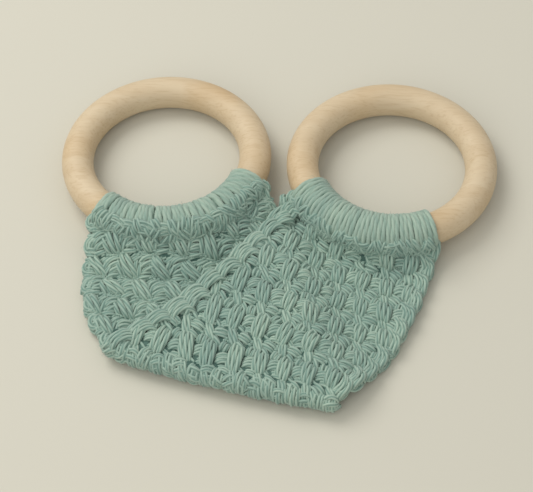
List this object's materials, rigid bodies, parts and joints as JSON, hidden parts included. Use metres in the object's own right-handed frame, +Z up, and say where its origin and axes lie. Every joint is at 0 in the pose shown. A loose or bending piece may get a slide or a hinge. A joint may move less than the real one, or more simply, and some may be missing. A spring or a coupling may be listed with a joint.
{
  "type": "crocheted teething ring toy",
  "caption": "Baby teether: smooth wooden rings joined by a folded strip of crocheted cotton, with stitches worked over the lower arc of each ring.",
  "frame": {"origin": "middle of the base, on the surface the toy lies on", "axes": "+X runs from the left ring to the right ring, +Y from the fold to the rings, +Z up"},
  "size_m": [0.1452, 0.1303, 0.0156],
  "materials": {
    "maple": "bare sanded wood, matte, faint grain",
    "sage_cotton": "matte crocheted cotton yarn"
  },
  "bodies": {
    "back": {"cloth_back": "sage_cotton", "cloth_fold": "sage_cotton"},
    "left_end": {"cloth_left": "sage_cotton", "wrap_left": "sage_cotton"},
    "left_ring": {"ring_left": "maple"},
    "front": {"cloth_front": "sage_cotton"},
    "right_end": {"cloth_right": "sage_cotton", "wrap_right": "sage_cotton"},
    "right_ring": {"ring_right": "maple"}
  },
  "joints": [
    {"name": "left_end_lift", "type": "hinge", "parent": "back", "child": "left_end", "pos_m": [0.00105, 0.01373, 0.002], "axis": [0.6636, 0.7481, 0], "range_deg": [0, 45]},
    {"name": "left_ring_turn", "type": "hinge", "parent": "left_end", "child": "left_ring", "pos_m": [-0.0376, 0.0302, 0.00675], "axis": [-0.0138, 0.0451, 0.9989], "continuous": true},
    {"name": "fold_open", "type": "hinge", "parent": "back", "child": "front", "pos_m": [-0.05, -0.0438, 0.00415], "axis": [0.9721, -0.2344, 0], "range_deg": [0, 180]},
    {"name": "right_end_lift", "type": "hinge", "parent": "front", "child": "right_end", "pos_m": [0.0516, -0.0103, 0.0063], "axis": [1, 0, 0], "range_deg": [0, 90]},
    {"name": "right_ring_turn", "type": "hinge", "parent": "right_end", "child": "right_ring", "pos_m": [0.0376, 0.0302, 0.00675], "axis": [0.0161, 0.0443, 0.9989], "continuous": true}
  ]
}
